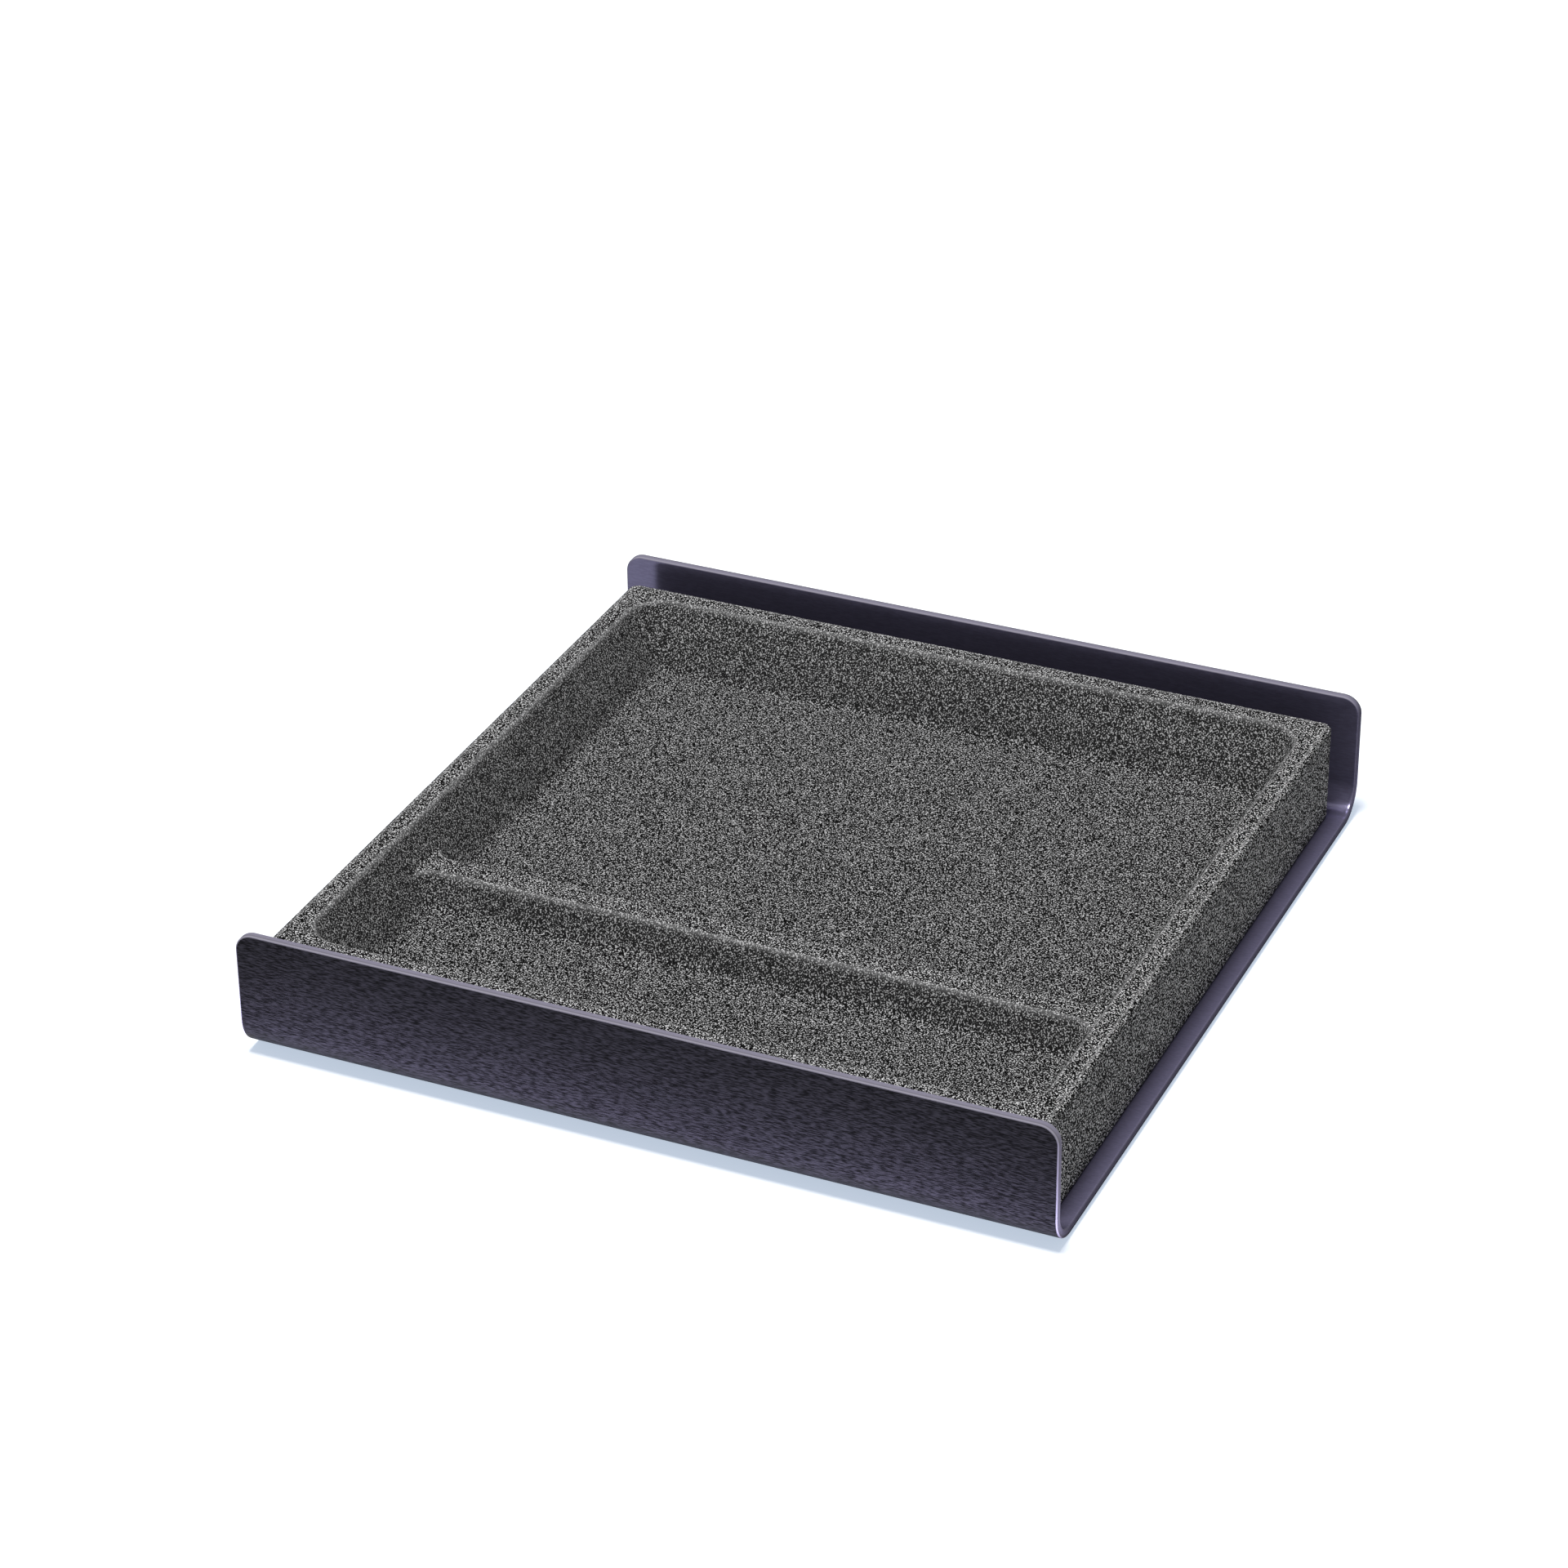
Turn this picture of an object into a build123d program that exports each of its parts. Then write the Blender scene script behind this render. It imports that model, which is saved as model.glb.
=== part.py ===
"""Pen tray: a bent aluminium plate with a drop-in foam insert of two pockets, on four thin feet.

Millimetres. +X runs along the flanges, +Y points from the front flange to the back one, +Z is up.
The origin is on the desk, under the middle of the plate.
"""

import os
from math import radians, tan

from build123d import *

# Bent plate: one aluminium sheet, its front and back edges folded straight up, its ends left open
plate_width = 218.0  # along X, from open end to open end
plate_depth = 225.0  # along Y, over the outsides of the two flanges
plate_height = 35.0  # from the underside of the base to the top of the flanges
sheet = 2.3  # thickness of the aluminium
bend_radius = 7.1  # inside radius of each fold
flange_corner = 5.0  # radius of the flanges' upper corners

# Foam insert: one moulded block that lies loose on the base, between the flanges
side_ledge = 5.0  # base left bare beyond the insert at each open end
flange_gap = 5.2  # room between the insert and each flange, when it lies in the middle
insert_forward = 1.0  # how far in front of the middle the loose insert lies
insert_height = 27.7  # thickness of the block
insert_corner = 3.0  # radius of its upright corners
rim_edge = 1.2  # rounding of the rim, outside and inside
bend_relief = 1.1  # flat of the base left bare between the insert's rounded lower edge and a fold

# Pockets: a well with sloped walls, split near its floor by a low divider
rim = 6.0  # flat rim around the well
wall_slope = 27.5  # degrees that each wall leans back from upright
well_corner = 10.5  # corner radius at the mouth of the well
floor_corner = 1.4  # corner radius of the two floors
pocket_depth = 17.5  # from the rim to the floors
divider_height = 8.5  # from the floors to the divider's flat top
divider_width = 6.9  # across the divider's flat top
pen_floor = 40.4  # front to back of the pen pocket's floor

# Feet: thin self-adhesive discs under the flat of the plate
foot_diameter = 12.0
foot_height = 1.0
foot_edge = 0.3  # bevel of a foot's lower edge
foot_inset = 16.0  # from the plate's ends, and from the folds, to a foot's middle

# Levels above the desk
base_top = foot_height + sheet
insert_top = base_top + insert_height
divider_top = insert_top - pocket_depth + divider_height

# Places across the plate
flange_inside = plate_depth / 2 - sheet
flat_half = flange_inside - bend_radius
insert_width = plate_width - 2 * side_ledge
insert_length = 2 * (flange_inside - flange_gap)
foot_x = plate_width / 2 - foot_inset
foot_y = flat_half - foot_inset


def bent_plate():
    """The sheet's U-shaped section carried from end to end, with the flanges' upper corners rounded."""
    standing_on_base = (Align.CENTER, Align.MIN)
    outside = Rectangle(plate_depth, plate_height, align=standing_on_base)
    outside = fillet(outside.vertices().group_by(Axis.Y)[0], bend_radius + sheet)
    inside = Pos(0, sheet) * Rectangle(2 * flange_inside, plate_height, align=standing_on_base)
    inside = fillet(inside.vertices().group_by(Axis.Y)[0], bend_radius)
    section = Plane.YZ.offset(-plate_width / 2) * Pos(0, foot_height) * (outside - inside)
    plate = extrude(section, plate_width)
    upper_corners = plate.edges().filter_by(Axis.Y).group_by(Axis.Z)[-1]
    return fillet(upper_corners, flange_corner)


def insert_block():
    """The block before its pockets are sunk, with its lower edges rounded enough to clear the folds."""
    outline = RectangleRounded(insert_width, insert_length, insert_corner)
    block = Pos(0, 0, base_top) * extrude(outline, insert_height)
    reach_past_flat = insert_length / 2 + insert_forward - flat_half
    lower_edge = max(reach_past_flat + bend_relief, rim_edge)
    side_view = Rectangle(insert_length, insert_height, align=(Align.CENTER, Align.MIN))
    side_view = fillet(side_view.vertices().group_by(Axis.Y)[0], lower_edge)
    side_view = Plane.YZ.offset(-insert_width / 2) * Pos(0, base_top) * side_view
    block &= extrude(side_view, insert_width)
    return fillet(block.faces().sort_by(Axis.Z)[-1].outer_wire().edges(), rim_edge)


def lean(depth):
    """How far a sloped wall has come in at a depth below the rim."""
    return depth * tan(radians(wall_slope))


def corner_at(depth):
    """Corner radius at a depth below the rim: it shrinks evenly from the mouth to the floors."""
    return well_corner + (floor_corner - well_corner) * depth / pocket_depth


def tapered_void(front, back, top_depth, bottom_depth):
    """The hollow between two depths, whose mouth at the upper depth runs from front to back along Y."""
    sections = []
    for depth in (top_depth, bottom_depth):
        narrowing = lean(depth) - lean(top_depth)
        width = insert_width - 2 * (rim + lean(depth))
        outline = RectangleRounded(width, back - front - 2 * narrowing, corner_at(depth))
        sections.append(Pos(0, (front + back) / 2, insert_top - depth) * outline)
    return loft(sections, ruled=True)


def insert_hollows():
    """The well down to the divider's top, then the pen pocket at the front and the main pocket behind."""
    divider_depth = insert_top - divider_top
    well_front = rim - insert_length / 2
    mouth_front = well_front + lean(divider_depth)
    divider_front = well_front + lean(pocket_depth) + pen_floor + lean(pocket_depth) - lean(divider_depth)
    return [
        tapered_void(well_front, -well_front, 0, divider_depth),
        tapered_void(mouth_front, divider_front, divider_depth, pocket_depth),
        tapered_void(divider_front + divider_width, -mouth_front, divider_depth, pocket_depth),
    ]


def foam_insert():
    """The block with its pockets sunk and the inner edge of its rim rounded, laid a little to the front."""
    block = insert_block() - insert_hollows()
    block = fillet(block.faces().sort_by(Axis.Z)[-1].inner_wires()[0].edges(), rim_edge)
    return Pos(0, -insert_forward, 0) * block


def foot(x, y):
    """A thin disc with a bevelled lower edge."""
    disc = Pos(x, y, 0) * extrude(Circle(foot_diameter / 2), foot_height)
    return chamfer(disc.edges().group_by(Axis.Z)[0], foot_edge)


nodes = {"tray_plate": bent_plate(), "foam_insert": foam_insert()}
for row, y in (("front", -foot_y), ("back", foot_y)):
    for side, x in (("left", -foot_x), ("right", foot_x)):
        nodes[f"foot_{row}_{side}"] = foot(x, y)

os.makedirs("parts", exist_ok=True)
for name, shape in nodes.items():
    export_step(shape, f"parts/{name}.step")
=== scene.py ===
"""The pen tray's looks: a folded anodised plate, its four feet and its foam insert, in a pale studio."""

import math

import bpy
import numpy as np
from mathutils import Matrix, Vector


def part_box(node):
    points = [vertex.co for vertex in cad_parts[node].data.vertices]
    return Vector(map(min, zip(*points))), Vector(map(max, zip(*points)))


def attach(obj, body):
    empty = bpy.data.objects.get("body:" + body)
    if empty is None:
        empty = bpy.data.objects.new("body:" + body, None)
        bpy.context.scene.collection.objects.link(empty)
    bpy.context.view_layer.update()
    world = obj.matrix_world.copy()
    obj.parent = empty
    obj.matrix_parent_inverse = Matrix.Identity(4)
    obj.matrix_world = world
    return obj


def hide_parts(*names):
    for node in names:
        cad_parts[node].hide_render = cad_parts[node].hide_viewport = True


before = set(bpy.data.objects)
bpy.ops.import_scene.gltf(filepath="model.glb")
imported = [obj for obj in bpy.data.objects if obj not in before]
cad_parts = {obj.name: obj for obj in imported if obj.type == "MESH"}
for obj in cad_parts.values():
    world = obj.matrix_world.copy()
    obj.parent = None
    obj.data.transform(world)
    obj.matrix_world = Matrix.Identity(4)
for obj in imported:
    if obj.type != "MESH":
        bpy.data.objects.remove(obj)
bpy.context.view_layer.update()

# Tray plate: one blank of aluminium sheet with rounded corners, brushed on one side along its width, its
# edges broken, folded up at the front and the back in a press brake and then anodised black. It carries
# the rest.
mm = 0.001
plate_low, plate_high = (np.array(corner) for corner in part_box("tray_plate"))
plate_half_width = plate_high[0]
plate_half_depth = plate_high[1]
sheet = 2.3 * mm
fold_radius = 7.1 * mm  # inside of each fold
flange_corner = 5.0 * mm
edge_break = 0.45 * mm  # radius of the broken edges

fold_middle = fold_radius + sheet / 2  # radius of the sheet's middle layer in a fold
fold_length = fold_middle * math.pi / 2
flat_half = plate_half_depth - sheet - fold_radius
middle_level = plate_low[2] + sheet / 2
flange_straight = plate_high[2] - middle_level - fold_middle
blank_half = flat_half + fold_length + flange_straight


def grid_lines(stops, steps):
    """Grid lines along a row of stops, with the stretch after each stop cut into its number of steps."""
    stretches = [np.linspace(a, b, n, endpoint=False) for a, b, n in zip(stops, stops[1:], steps)]
    return np.concatenate(stretches + [stops[-1:]])


def rounded_grid(u, v, half_u, half_v, corner):
    """Rounds the corners of a rectangular grid. Each point gets a foot on the core, which is the rectangle
    less its corner radius, a direction, and a reach from that foot. In a corner square the reach is the
    larger of the point's two overhangs and their ratio sets the angle, so square rings become round ones."""
    foot_u = np.clip(u, corner - half_u, half_u - corner)
    foot_v = np.clip(v, corner - half_v, half_v - corner)
    over_u, over_v = u - foot_u, v - foot_v
    reach = np.maximum(abs(over_u), abs(over_v))
    divisor = np.maximum(reach, 1e-12)  # never nought, which the reach is on the core
    angle = math.pi / 4 * np.minimum(abs(over_u), abs(over_v)) / divisor
    u_leads = abs(over_u) >= abs(over_v)
    toward_u = np.sign(over_u) * np.where(u_leads, np.cos(angle), np.sin(angle))
    toward_v = np.sign(over_v) * np.where(u_leads, np.sin(angle), np.cos(angle))
    return foot_u, foot_v, toward_u, toward_v, reach


def grid_quads(index):
    """The quads between neighbouring rows and columns of a grid of vertex numbers."""
    corners = (index[:-1, :-1], index[1:, :-1], index[1:, 1:], index[:-1, 1:])
    return np.stack(corners, axis=-1).reshape(-1, 4).tolist()


def add_piece(name, points, faces):
    """A smooth-shaded mesh object at the origin, with its place in its vertices."""
    mesh = bpy.data.meshes.new(name)
    mesh.from_pydata(points.reshape(-1, 3).tolist(), [], faces)
    mesh.polygons.foreach_set("use_smooth", np.ones(len(mesh.polygons), bool))
    mesh.update()
    piece = bpy.data.objects.new(name, mesh)
    bpy.context.scene.collection.objects.link(piece)
    return piece


def fold_blank(x, along, off_middle):
    """Folds the flat blank: a point along its length from the middle, and off its middle layer towards the
    inside, runs straight over the base, round a quarter circle in the fold, and straight up the flange."""
    distance = abs(along)
    angle = np.clip((distance - flat_half) / fold_middle, 0, math.pi / 2)
    climb = np.maximum(distance - flat_half - fold_length, 0)
    swing = fold_middle - off_middle
    y = np.sign(along) * (np.minimum(distance, flat_half) + swing * np.sin(angle))
    z = middle_level + fold_middle - swing * np.cos(angle) + climb
    return np.stack([x, y, z], axis=-1)


# Each skin of the sheet runs flat to the broken edge, a quarter circle takes it onto the cut face, and it
# ends halfway down that face
edge_rings = 5
ring_step = 0.1 * mm  # spacing of the rings on the unfolded grid, where the edge is laid out flat
edge_angles = np.linspace(0, math.pi / 2, edge_rings)
ring_reach = flange_corner - edge_break + ring_step * np.arange(edge_rings + 1)
reach_stops = np.concatenate([[0], ring_reach])
edge_reach = flange_corner - edge_break * (1 - np.sin(edge_angles))
edge_height = sheet / 2 - edge_break * (1 - np.cos(edge_angles))
skin_reach = np.concatenate([[0], edge_reach, [flange_corner]])
skin_height = np.concatenate([[sheet / 2], edge_height, [0]])
corner_steps = 9


def lines_to_edge(half, inner_stops, inner_steps):
    """Grid lines from edge to edge: the inner stretches, the corner squares and the rings round the edge."""
    core = half - flange_corner
    corner_lines = np.linspace(core, core + ring_reach[0], corner_steps + 1)[1:]
    outer = np.concatenate([corner_lines, core + ring_reach[1:]])
    inner = grid_lines(inner_stops, inner_steps)
    return np.concatenate([-outer[::-1], inner, outer])


width_steps, base_steps, fold_steps, flange_steps = 12, 10, 16, 4
near_fold = 1.0 * mm  # a line this far from each fold keeps the flats flat up to it
fold_end = flat_half + fold_length
plate_core = plate_half_width - flange_corner
blank_core = blank_half - flange_corner
half_stops = [flat_half - near_fold, flat_half, fold_end, fold_end + near_fold, blank_core]
half_steps = [1, fold_steps, 1, flange_steps]
width_lines = lines_to_edge(plate_half_width, np.array([-plate_core, plate_core]), [width_steps])
length_lines = lines_to_edge(
    blank_half,
    np.array([-stop for stop in half_stops[::-1]] + half_stops),
    half_steps[::-1] + [base_steps] + half_steps,
)
blank_x, blank_along = np.meshgrid(width_lines, length_lines, indexing="ij")
foot_x, foot_along, toward_x, toward_along, reach = rounded_grid(
    blank_x, blank_along, plate_half_width, blank_half, flange_corner
)
flat_reach = np.interp(reach, reach_stops, skin_reach)
off_middle = np.interp(reach, reach_stops, skin_height)
sheet_x = foot_x + toward_x * flat_reach
sheet_along = foot_along + toward_along * flat_reach
inner_skin = fold_blank(sheet_x, sheet_along, off_middle)
outer_skin = fold_blank(sheet_x, sheet_along, -off_middle)

# Both skins end on the same ring of vertices, halfway through the sheet
inner_index = np.arange(blank_x.size).reshape(blank_x.shape)
outer_index = inner_index.copy()
inside_ring = blank_x[1:-1, 1:-1]
outer_index[1:-1, 1:-1] = blank_x.size + np.arange(inside_ring.size).reshape(inside_ring.shape)
plate_points = np.concatenate([inner_skin.reshape(-1, 3), outer_skin[1:-1, 1:-1].reshape(-1, 3)])
plate_faces = grid_quads(inner_index) + grid_quads(outer_index[:, ::-1])
plate = add_piece("folded_plate", plate_points, plate_faces)


def add_values(piece, name, values):
    """Keeps one number for each vertex of a piece, for its material to read."""
    attribute = piece.data.attributes.new(name, "FLOAT", "POINT")
    attribute.data.foreach_set("value", values.ravel().astype(np.float32))


# What each part of the sheet shows. The outer side is brushed. The inner side was only etched, though the
# brush just caught it on the flanges. The cut edge is dull, with a tone between theirs. Its two arrises are
# painted paler as a highlight, and the whole edge is painted paler along the top of each flange and at the
# front, as painted light; the cut edges elsewhere, at the ends of the base and of the back flange, are
# painted darker as painted shade.
brush_caught = 0.2  # how brushed the flanges are inside
painted_edge_shade = 0.45  # how far the inner half of a cut edge is drawn to the dark brushed tone where no painted light falls on it, as painted shade
# share of the pale edge tone that is kept where no painted light falls on a cut edge
unlit_edge_pale = 0.1
base_metal, flange_metal, outer_metal = 0.3, 0.6, 0.4  # share of metal that shows through the film
edge_ring = (reach - ring_reach[0]) / ring_step  # rings past the end of the flat
cut_edge = np.clip(edge_ring / 2, 0, 1)
uncut = 1 - np.clip(edge_ring, 0, 1)
# painted highlight along the rounded arrises of the cut edge
painted_arris_highlight = np.sin(np.clip(edge_ring / (edge_rings - 1), 0, 1) * math.pi)
on_flange = np.clip((abs(sheet_along) - flat_half) / fold_length, 0, 1)
# painted light on the cut edges along the top of each flange and at the front, none elsewhere
painted_lit_edge = np.maximum(on_flange * (sheet_along < 0), toward_along**2)
pale_edge_and_painted_light = (unlit_edge_pale + (1 - unlit_edge_pale) * painted_lit_edge) * (cut_edge + painted_arris_highlight) / 2
inner_brush_and_painted_shade = np.maximum(brush_caught * on_flange, painted_edge_shade * cut_edge * (1 - painted_lit_edge))
inner_metal = base_metal + (flange_metal - base_metal) * on_flange
for name, inner, outer in (
    ("edge_tone_and_painted_light", pale_edge_and_painted_light, pale_edge_and_painted_light),
    # outer_side also carries the painted shade that darkens the cut edges at the ends of the base and the
    # back flange
    ("outer_side", inner_brush_and_painted_shade, np.ones(reach.shape)),
    ("metal_share", inner_metal * uncut, outer_metal * uncut),
):
    add_values(plate, name, np.concatenate([inner.ravel(), outer[1:-1, 1:-1].ravel()]))


def linear(code):
    """An sRGB hex colour as linear red, green, blue and a full alpha, by the sRGB curve."""
    srgb = [int(code[i : i + 2], 16) / 255 for i in (1, 3, 5)]
    return [c / 12.92 if c <= 0.04045 else ((c + 0.055) / 1.055) ** 2.4 for c in srgb] + [1.0]


def add_node(tree, kind, inputs=None, **settings):
    """Adds one shader node: settings go on the node, and each input is a constant or a node's output."""
    node = tree.nodes.new("ShaderNode" + kind)
    for key, value in settings.items():
        setattr(node, key, value)
    for key, value in (inputs or {}).items():
        if isinstance(value, bpy.types.NodeSocket):
            tree.links.new(value, node.inputs[key])
        else:
            node.inputs[key].default_value = value
    return node


def new_material(name):
    """An empty node material and its tree."""
    material = bpy.data.materials.new(name)
    material.use_nodes = True
    material.node_tree.nodes.clear()
    return material, material.node_tree


# Black anodised aluminium, part dyed film and part metal. The inner side is smooth and violet-grey, and
# mirrors softly what stands near it. The brushed outer side is a darker, duller satin with short level
# streaks. The cut edges are pale and matt, with a painted highlight on their arrises and painted light along
# the flange tops and the front. All the gloss is the metal's, so the film has none of its own.
streak_width = 0.28 * mm  # real brush lines are finer, and are drawn this coarse so that they show
streak_length = 2.0 * mm
streak_depth = 0.01 * mm
darkest_streak, palest_streak = 0.38, 0.64  # levels of the noise
inner_roughness = 0.17
dark_streak_roughness, pale_streak_roughness = 0.36, 0.46
anodised, tree = new_material("brushed_anodised_aluminium")
place = add_node(tree, "TexCoord").outputs["Object"]
stretched = add_node(
    tree, "Mapping", {"Vector": place, "Scale": (1 / streak_length, 1 / streak_width, 1 / streak_width)}
)
streaks = add_node(
    tree,
    "TexNoise",
    {"Vector": stretched.outputs["Vector"], "Scale": 1.0, "Detail": 1.5, "Roughness": 0.6},
).outputs["Fac"]
shade = add_node(
    tree, "MapRange", {"Value": streaks, "From Min": darkest_streak, "From Max": palest_streak}
).outputs["Result"]
brushed = add_node(
    tree, "Mix", {"Factor": shade, "A": linear("#0f0f10"), "B": linear("#2c2b2f")}, data_type="RGBA"
)
etched = add_node(
    tree, "Mix", {"Factor": shade, "A": linear("#6d6982"), "B": linear("#75718c")}, data_type="RGBA"
)
outer_side = add_node(tree, "Attribute", attribute_name="outer_side").outputs["Fac"]
edge_tone_and_painted_light = add_node(tree, "Attribute", attribute_name="edge_tone_and_painted_light").outputs["Fac"]
metal_share = add_node(tree, "Attribute", attribute_name="metal_share").outputs["Fac"]
film = add_node(
    tree,
    "Mix",
    {"Factor": outer_side, "A": etched.outputs["Result"], "B": brushed.outputs["Result"]},
    data_type="RGBA",
)
# cut edges: a pale tone, with a painted highlight on the arrises and painted light along the flange tops and
# the front
colour = add_node(
    tree,
    "Mix",
    {"Factor": edge_tone_and_painted_light, "A": film.outputs["Result"], "B": linear("#a6a2b1")},
    data_type="RGBA",
)
brushed_gloss = add_node(
    tree, "MapRange", {"Value": shade, "To Min": dark_streak_roughness, "To Max": pale_streak_roughness}
)
gloss_spread = add_node(
    tree, "Mix", {"Factor": outer_side, "A": inner_roughness, "B": brushed_gloss.outputs["Result"]}
)
relief = add_node(tree, "Bump", {"Height": streaks, "Strength": outer_side, "Distance": streak_depth})
surface = add_node(
    tree,
    "BsdfPrincipled",
    {
        "Base Color": colour.outputs["Result"],
        "Metallic": metal_share,
        "Roughness": gloss_spread.outputs["Result"],
        "Specular IOR Level": 0.0,
        "Normal": relief.outputs["Normal"],
    },
)
add_node(tree, "OutputMaterial", {"Surface": surface.outputs["BSDF"]})

plate.data.materials.append(anodised)
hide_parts("tray_plate")
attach(plate, "tray")

# Feet: four thin discs of black rubber, moulded with a bevelled rim and stuck under the flat of the plate
# near its corners, so that the metal neither slides nor scratches. The rubber is dull and faintly mottled.
mottle = 0.8 * mm
mottle_depth = 0.05 * mm
rubber, tree = new_material("moulded_black_rubber")
place = add_node(tree, "TexCoord").outputs["Object"]
mottling = add_node(tree, "TexNoise", {"Vector": place, "Scale": 1 / mottle, "Detail": 2.0}).outputs["Fac"]
colour = add_node(
    tree, "Mix", {"Factor": mottling, "A": linear("#1b1b1c"), "B": linear("#2e2e30")}, data_type="RGBA"
)
relief = add_node(tree, "Bump", {"Height": mottling, "Strength": 0.3, "Distance": mottle_depth})
surface = add_node(
    tree,
    "BsdfPrincipled",
    {
        "Base Color": colour.outputs["Result"],
        "Roughness": 0.75,
        "IOR": 1.52,
        "Normal": relief.outputs["Normal"],
    },
)
add_node(tree, "OutputMaterial", {"Surface": surface.outputs["BSDF"]})
for row in ("front", "back"):
    for side in ("left", "right"):
        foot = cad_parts[f"foot_{row}_{side}"]
        foot.data.materials.clear()
        foot.data.materials.append(rubber)

# Foam insert: one block of charcoal closed-cell foam, made of fused granules, moulded with a wide pocket
# and a pen pocket whose walls slope and whose divider stands lower than the rim. It drops in loose on the
# plate.
insert_low, insert_high = (np.array(corner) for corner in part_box("foam_insert"))
insert_half_width = insert_high[0]
insert_half_length = (insert_high[1] - insert_low[1]) / 2
insert_middle = (insert_high[1] + insert_low[1]) / 2
insert_top = insert_high[2]
insert_bottom = insert_low[2]
insert_corner = 3.0 * mm
rim_edge = 1.2 * mm  # rounding of the rim's outer edge
lower_edge_sides = 0.8 * mm
lower_edge_ends = 4.0 * mm  # front and back, clear of the plate's folds
rim = 6.0 * mm
wall_lean = math.tan(math.radians(27.5))  # how far a wall runs inwards for each length that it drops
well_corner = 10.5 * mm
pocket_depth = 17.5 * mm
divider_height = 8.5 * mm
divider_width = 6.9 * mm
pen_floor = 40.4 * mm
crest_softness = 0.4 * mm  # half the width over which the rim's and the divider's edges are rounded
floor_softness = 1.3 * mm  # the same at the foot of a wall


def inside_distance(x, y, half_x, half_y, corner):
    """How far a point is inside a rounded rectangle that is centred on the origin; negative outside."""
    over_x = abs(x) - half_x + corner
    over_y = abs(y) - half_y + corner
    outside = np.hypot(np.maximum(over_x, 0), np.maximum(over_y, 0))
    return corner - outside - np.minimum(np.maximum(over_x, over_y), 0)


def soft_ramp(distance, softness):
    """Zero before an edge and the distance after it, joined over the softness by a parabola that meets
    both."""
    joined = (distance + softness) ** 2 / (4 * softness)
    return np.where(distance < -softness, 0, np.where(distance > softness, distance, joined))


def wall_drop(distance, depth, foot_softness):
    """How far a sloped wall has dropped at a distance inside its mouth, softly begun and softly ended: one
    ramp from the mouth less another from the foot, over the wall's lean."""
    run = depth * wall_lean
    return (soft_ramp(distance, crest_softness) - soft_ramp(distance - run, foot_softness)) / wall_lean


def insert_depth(x, y):
    """Depth below the rim: a well with sloped walls down to the divider's top, then two pockets below it,
    whose outer walls carry the well's walls on without a step."""
    well_depth = pocket_depth - divider_height
    run = well_depth * wall_lean
    half_x = insert_half_width - rim
    half_y = insert_half_length - rim
    depth = wall_drop(inside_distance(x, y, half_x, half_y, well_corner), well_depth, crest_softness)
    mouth_front = run - half_y
    divider_front = 2 * pocket_depth * wall_lean - run + pen_floor - half_y
    pockets = []
    for front, back in ((mouth_front, divider_front), (divider_front + divider_width, -mouth_front)):
        middle, half = (front + back) / 2, (back - front) / 2
        inside = inside_distance(x, y - middle, half_x - run, half, well_corner - run)
        pockets.append(wall_drop(inside, divider_height, floor_softness))
    return depth + np.maximum(*pockets)


fine, coarse = 0.3 * mm, 2.4 * mm  # spacing of the grid lines over the walls, and over the flat floors


def banded_lines(stops):
    """Grid lines along a row of stops whose stretches are fine and coarse by turns, the first one fine."""
    spacings = [coarse if i % 2 else fine for i in range(len(stops) - 1)]
    steps = [max(1, round((b - a) / spacing)) for a, b, spacing in zip(stops, stops[1:], spacings)]
    return grid_lines(np.array(stops), steps)


# Rings over the outer edge, laid out flat on the grid: the rim's rounding, the upright side and the rounding
# under it
top_steps, rim_rings, side_rings, low_rings = 4, 5, 8, 6
ring_count = rim_rings + side_rings + low_rings
rim_flat = insert_corner - rim_edge
ring_reach = rim_flat + ring_step * np.arange(ring_count + 1)
outer = np.concatenate([np.linspace(0, rim_flat, top_steps + 1)[1:], ring_reach[1:]])

past_foot = 2 * mm  # how far past the foot of a wall the fine lines run
wall_run = pocket_depth * wall_lean
core_x = insert_half_width - insert_corner
core_y = insert_half_length - insert_corner
floor_x = insert_half_width - rim - wall_run - past_foot
floor_front = rim + wall_run + past_foot - insert_half_length
pen_back = floor_front - past_foot + pen_floor - past_foot
main_front = pen_back + 2 * past_foot + divider_width + 2 * divider_height * wall_lean
inner_x = banded_lines([-core_x, -floor_x, floor_x, core_x])
inner_y = banded_lines([-core_y, floor_front, pen_back, main_front, -floor_front, core_y])
insert_x_lines = np.concatenate([-core_x - outer[::-1], inner_x, core_x + outer])
insert_y_lines = np.concatenate([-core_y - outer[::-1], inner_y, core_y + outer])
grid_x, grid_y = np.meshgrid(insert_x_lines, insert_y_lines, indexing="ij")
foot_x, foot_y, toward_x, toward_y, reach = rounded_grid(
    grid_x, grid_y, insert_half_width, insert_half_length, insert_corner
)
ring = np.clip((reach - ring_reach[0]) / ring_step, 0, ring_count)
on_top = ring == 0
rim_turn = np.clip(ring / rim_rings, 0, 1) * math.pi / 2
side_share = np.clip((ring - rim_rings) / side_rings, 0, 1)
low_turn = np.clip((ring - rim_rings - side_rings) / low_rings, 0, 1) * math.pi / 2
lower_edge = lower_edge_sides + (lower_edge_ends - lower_edge_sides) * toward_y**2
flat_reach = np.where(on_top, reach, insert_corner - rim_edge * (1 - np.sin(rim_turn)))
flat_reach = flat_reach - lower_edge * (1 - np.cos(low_turn))
block_x = foot_x + toward_x * flat_reach
block_y = foot_y + toward_y * flat_reach
side_top = insert_top - rim_edge
side_bottom = insert_bottom + lower_edge
block_z = insert_top - rim_edge * (1 - np.cos(rim_turn)) - side_share * (side_top - side_bottom)
block_z = block_z - lower_edge * np.sin(low_turn) - insert_depth(block_x, block_y) * on_top
insert_points = np.stack([block_x, block_y + insert_middle, block_z], axis=-1)
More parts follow.
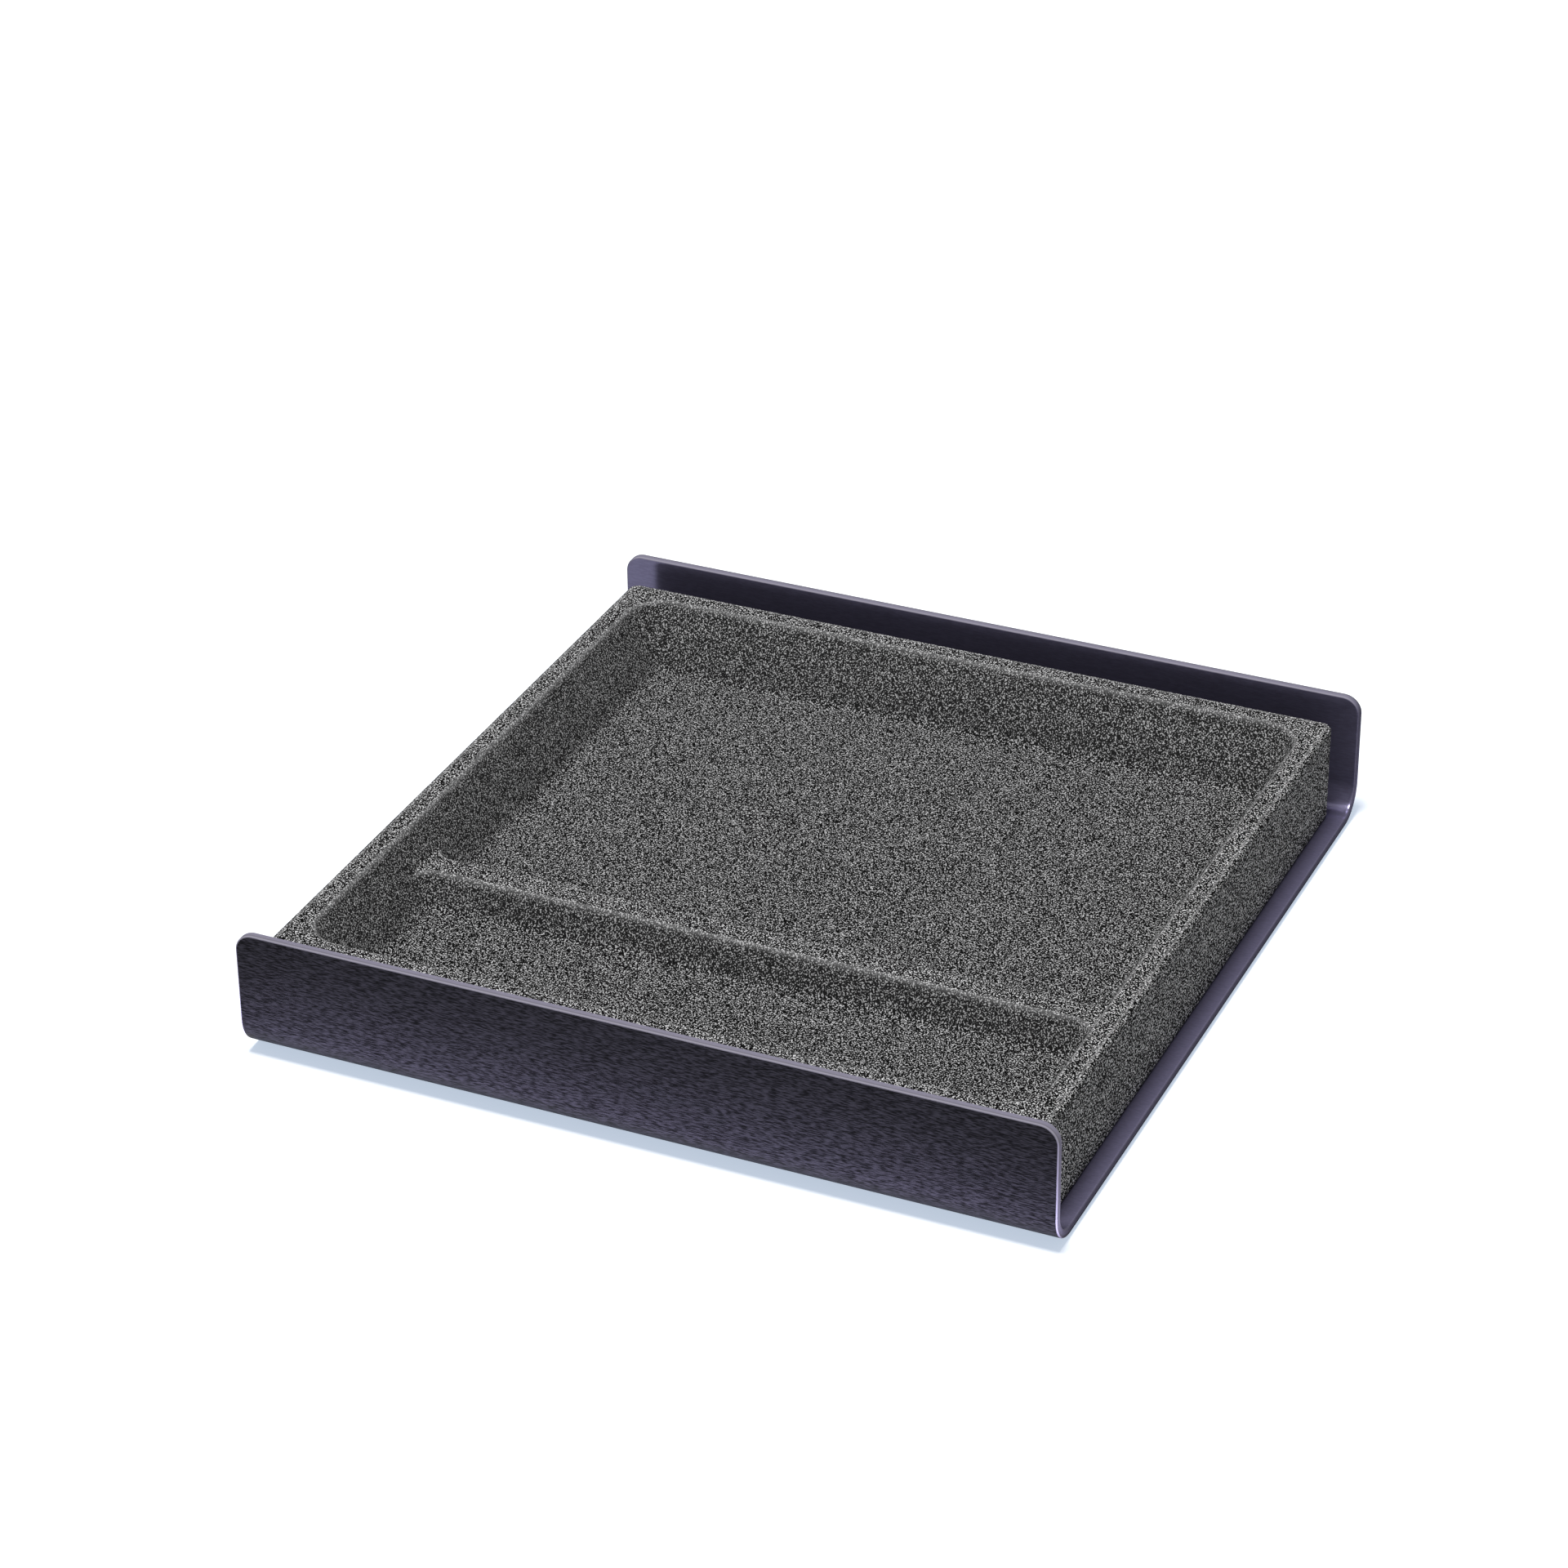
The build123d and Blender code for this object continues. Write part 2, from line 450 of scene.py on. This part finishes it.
insert_index = np.arange(grid_x.size).reshape(grid_x.shape)
underside = np.concatenate(
    [insert_index[0, :-1], insert_index[:-1, -1], insert_index[-1, :0:-1], insert_index[:0:-1, 0]]
)
insert = add_piece("foam_insert_skin", insert_points, grid_quads(insert_index) + [underside.tolist()])

# Marks on the top: a painted highlight that is paler the more it curves downwards over a crest, a smoother
# grain and painted shade the steeper it is, and painted shade that is darker the deeper it lies
slope_x = np.gradient(block_z, insert_x_lines, axis=0)
slope_y = np.gradient(block_z, insert_y_lines, axis=1)
bend = np.gradient(slope_x, insert_x_lines, axis=0) + np.gradient(slope_y, insert_y_lines, axis=1)
sharpest_bend = 1 / wall_lean / (2 * crest_softness)
add_values(insert, "painted_crest_highlight", np.clip(-bend / sharpest_bend, 0, 1) * on_top)
add_values(insert, "wall", np.clip(np.hypot(slope_x, slope_y) * wall_lean, 0, 1) * on_top)
add_values(insert, "depth_for_painted_shade", (insert_top - block_z) / pocket_depth * on_top)

# Charcoal foam of fused granules, moulded: dull, with an even salt-and-pepper grain of dark and pale
# granules that is a little cloudy over larger patches and calmer on the walls. Painted shade darkens the
# walls and the floors, and a painted highlight makes the crests paler
granule = 0.36 * mm
drawn_out = 1.4  # how many times longer the granules are on the upright sides, where the block was cut
askew = (0.6, 0.5, 0.4)  # turns the grain, so that no face cuts it along its own lattice
grain_depth = 0.12 * mm
cloud = 9 * mm
darkest_granule, palest_granule = 0.535, 0.705  # levels of the noise
wall_calm, wall_shade_level = 0.25, 0.1  # how far the grain of a wall is drawn to one dark level, which calms it and is painted shade, and that level
painted_shade_from, pale_under_painted_shade = 0.5, 0.78  # depth where the painted shade on the floors starts, and the pale that is left under it
# strength of the painted highlight on the crests
crest_highlight_strength = 0.25
foam, tree = new_material("moulded_granular_foam")
place = add_node(tree, "TexCoord").outputs["Object"]
facing = add_node(tree, "SeparateXYZ", {0: add_node(tree, "TexCoord").outputs["Normal"]})
upright = add_node(tree, "MapRange", {"Value": facing.outputs["Z"], "From Min": 0.35, "From Max": 0.05})
grains = []
for length in (granule, granule * drawn_out):
    stretched = add_node(
        tree,
        "Mapping",
        {"Vector": place, "Scale": (1 / length, 1 / length, 1 / granule), "Rotation": askew},
    )
    grain = add_node(tree, "TexNoise", {"Vector": stretched.outputs["Vector"], "Scale": 1.0, "Detail": 0.0})
    grains.append(grain.outputs["Fac"])
grain = add_node(tree, "Mix", {"Factor": upright.outputs["Result"], "A": grains[0], "B": grains[1]})
speckle = add_node(
    tree,
    "MapRange",
    {"Value": grain.outputs["Result"], "From Min": darkest_granule, "From Max": palest_granule},
)
wall = add_node(tree, "Attribute", attribute_name="wall")
calmed = add_node(tree, "Math", {0: wall.outputs["Fac"], 1: wall_calm}, operation="MULTIPLY")
# painted shade: the walls' grain is calmed and drawn towards a dark level
calmer_and_shaded = add_node(
    tree, "Mix", {"Factor": calmed.outputs["Value"], "A": speckle.outputs["Result"], "B": wall_shade_level}
)
depth_for_painted_shade = add_node(tree, "Attribute", attribute_name="depth_for_painted_shade")
# painted shade: the deeper the foam lies, the darker it is painted
pale_left_by_painted_shade = add_node(
    tree,
    "MapRange",
    {
        "Value": depth_for_painted_shade.outputs["Fac"],
        "From Min": painted_shade_from,
        "From Max": 1.0,
        "To Min": 1.0,
        "To Max": pale_under_painted_shade,
    },
)
pale = add_node(
    tree, "Math", {0: calmer_and_shaded.outputs["Result"], 1: pale_left_by_painted_shade.outputs["Result"]}, operation="MULTIPLY"
)
clouds = add_node(tree, "TexNoise", {"Vector": place, "Scale": 1 / cloud, "Detail": 2.0})
cloudy = add_node(tree, "MapRange", {"Value": clouds.outputs["Fac"], "From Min": 0.3, "From Max": 0.7})
dark_grey = add_node(
    tree,
    "Mix",
    {"Factor": cloudy.outputs["Result"], "A": linear("#040404"), "B": linear("#0c0c0c")},
    data_type="RGBA",
)
speckled = add_node(
    tree,
    "Mix",
    {"Factor": pale.outputs["Value"], "A": dark_grey.outputs["Result"], "B": linear("#e5e5e6")},
    data_type="RGBA",
)
painted_crest_highlight = add_node(tree, "Attribute", attribute_name="painted_crest_highlight")
on_painted_crest_highlight = add_node(tree, "Math", {0: painted_crest_highlight.outputs["Fac"], 1: crest_highlight_strength}, operation="MULTIPLY")
# painted highlight: the crests are drawn towards a pale grey
colour = add_node(
    tree,
    "Mix",
    {"Factor": on_painted_crest_highlight.outputs["Value"], "A": speckled.outputs["Result"], "B": linear("#cfcfd0")},
    data_type="RGBA",
)
relief = add_node(
    tree, "Bump", {"Height": grain.outputs["Result"], "Strength": 0.5, "Distance": grain_depth}
)
surface = add_node(
    tree,
    "BsdfPrincipled",
    {
        "Base Color": colour.outputs["Result"],
        "Roughness": 0.9,
        "IOR": 1.48,
        "Specular IOR Level": 0.03,
        "Normal": relief.outputs["Normal"],
    },
)
add_node(tree, "OutputMaterial", {"Surface": surface.outputs["BSDF"]})

insert.data.materials.append(foam)
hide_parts("foam_insert")
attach(insert, "insert")

# Studio: a white table under one softbox, which hangs overhead and a little to the front, with weak even
# light from all round. Table and surroundings are white to the eye and in reflections, and the shadow
# stays pale.
table_half = 1.0
table_top = -0.05 * mm  # just under the feet, so that no two faces share a plane
table_corners = np.array([[-1, -1, 0], [1, -1, 0], [1, 1, 0], [-1, 1, 0]])
table = add_piece("table", table_half * table_corners + [0, 0, table_top], [[0, 1, 2, 3]])


def add_seen(tree):
    """One where the camera, a reflection or a view through glass meets a surface, zero for other light."""
    path = add_node(tree, "LightPath").outputs
    seen = add_node(tree, "Math", {0: path["Is Camera Ray"], 1: path["Is Glossy Ray"]}, operation="MAXIMUM")
    through = {0: seen.outputs["Value"], 1: path["Is Transmission Ray"]}
    return add_node(tree, "Math", through, operation="MAXIMUM").outputs["Value"]


white_table, tree = new_material("white_table")
seen = add_seen(tree)
paint = add_node(
    tree, "Mix", {"Factor": seen, "A": linear("#f5f6f7"), "B": linear("#f0ebe4")}, data_type="RGBA"
)
matt = add_node(tree, "BsdfDiffuse", {"Color": paint.outputs["Result"]})
glow = add_node(tree, "Emission", {"Color": linear("#b9c6d7"), "Strength": seen})
table_surface = add_node(tree, "AddShader", {0: matt.outputs["BSDF"], 1: glow.outputs["Emission"]})
add_node(tree, "OutputMaterial", {"Surface": table_surface.outputs["Shader"]})
table.data.materials.append(white_table)

even_light = 0.11
world = bpy.data.worlds.new("studio")
bpy.context.scene.world = world
world.use_nodes = True
tree = world.node_tree
tree.nodes.clear()
even = add_node(tree, "Background", {"Color": linear("#ffffff"), "Strength": even_light})
white = add_node(tree, "Background", {"Color": linear("#ffffff"), "Strength": 1.0})
sky = add_node(
    tree,
    "MixShader",
    {0: add_seen(tree), 1: even.outputs["Background"], 2: white.outputs["Background"]},
)
add_node(tree, "OutputWorld", {"Surface": sky.outputs["Shader"]})

softbox_height = 3.0
softbox_size = 0.72
softbox_watts = 84.0
lean_front, lean_left = math.radians(10.5), math.radians(2.5)
softbox_place = Vector((-math.tan(lean_left), -math.tan(lean_front), 1)) * softbox_height
softbox = bpy.data.lights.new("softbox", "AREA")
softbox.shape = "SQUARE"
softbox.size = softbox_size
softbox.energy = softbox_watts
softbox_lamp = bpy.data.objects.new("softbox", softbox)
softbox_lamp.location = softbox_place
softbox_lamp.rotation_euler = softbox_place.to_track_quat("Z", "Y").to_euler()
bpy.context.scene.collection.objects.link(softbox_lamp)

# A low card on the table in front of each flange throws a cool light up its lower half. The cards light
# the plate alone, so that the foam stays grey when it is lifted, and are neither seen nor mirrored.
card_width, card_gap = 18 * mm, 4 * mm
card_tint = (0.74, 0.71, 1.0)
card_watts = 0.275
card_lit = bpy.data.collections.new("lit_by_low_cards")
card_lit.objects.link(plate)
for side in (-1, 1):
    card = bpy.data.lights.new("low_card", "AREA")
    card.shape = "RECTANGLE"
    card.size, card.size_y = 2 * plate_half_width + card_width, card_width
    card.color = card_tint
    card.energy = card_watts
    card_lamp = bpy.data.objects.new("low_card", card)
    card_lamp.location = (0, side * (plate_half_depth + card_gap + card_width / 2), plate_low[2] / 2)
    card_lamp.rotation_euler = (math.pi, 0, 0)
    card_lamp.visible_camera = False
    card_lamp.visible_glossy = False
    card_lamp.light_linking.receiver_collection = card_lit
    bpy.context.scene.collection.objects.link(card_lamp)

# Camera: where the photograph's was, worked out from the tray's own edges.
azimuth = math.radians(24.34)  # to the right of straight in front
elevation = math.radians(29.85)
roll = math.radians(-0.54)
distance = 1.2900
aim = np.array([-0.03949, 0.06387, plate_low[2]])  # what the middle of the frame shows
focal_pixels = 5749.9  # in the photograph's frame
frame_pixels = 1920
sensor_width = 36.0

forward = np.array(
    [
        -math.sin(azimuth) * math.cos(elevation),
        math.cos(azimuth) * math.cos(elevation),
        -math.sin(elevation),
    ]
)
level_right = np.array([math.cos(azimuth), math.sin(azimuth), 0.0])
level_up = np.cross(level_right, forward)
right = level_right * math.cos(roll) + level_up * math.sin(roll)
up = level_up * math.cos(roll) - level_right * math.sin(roll)
camera = bpy.data.cameras.new("camera")
camera.sensor_width = sensor_width
camera.lens = focal_pixels * sensor_width / frame_pixels
camera_object = bpy.data.objects.new("camera", camera)
pose = np.eye(4)
pose[:3, 0], pose[:3, 1], pose[:3, 2], pose[:3, 3] = right, up, -forward, aim - forward * distance
camera_object.matrix_world = pose.T.tolist()
bpy.context.scene.collection.objects.link(camera_object)
bpy.context.scene.camera = camera_object
bpy.context.scene.view_settings.view_transform = "Standard"
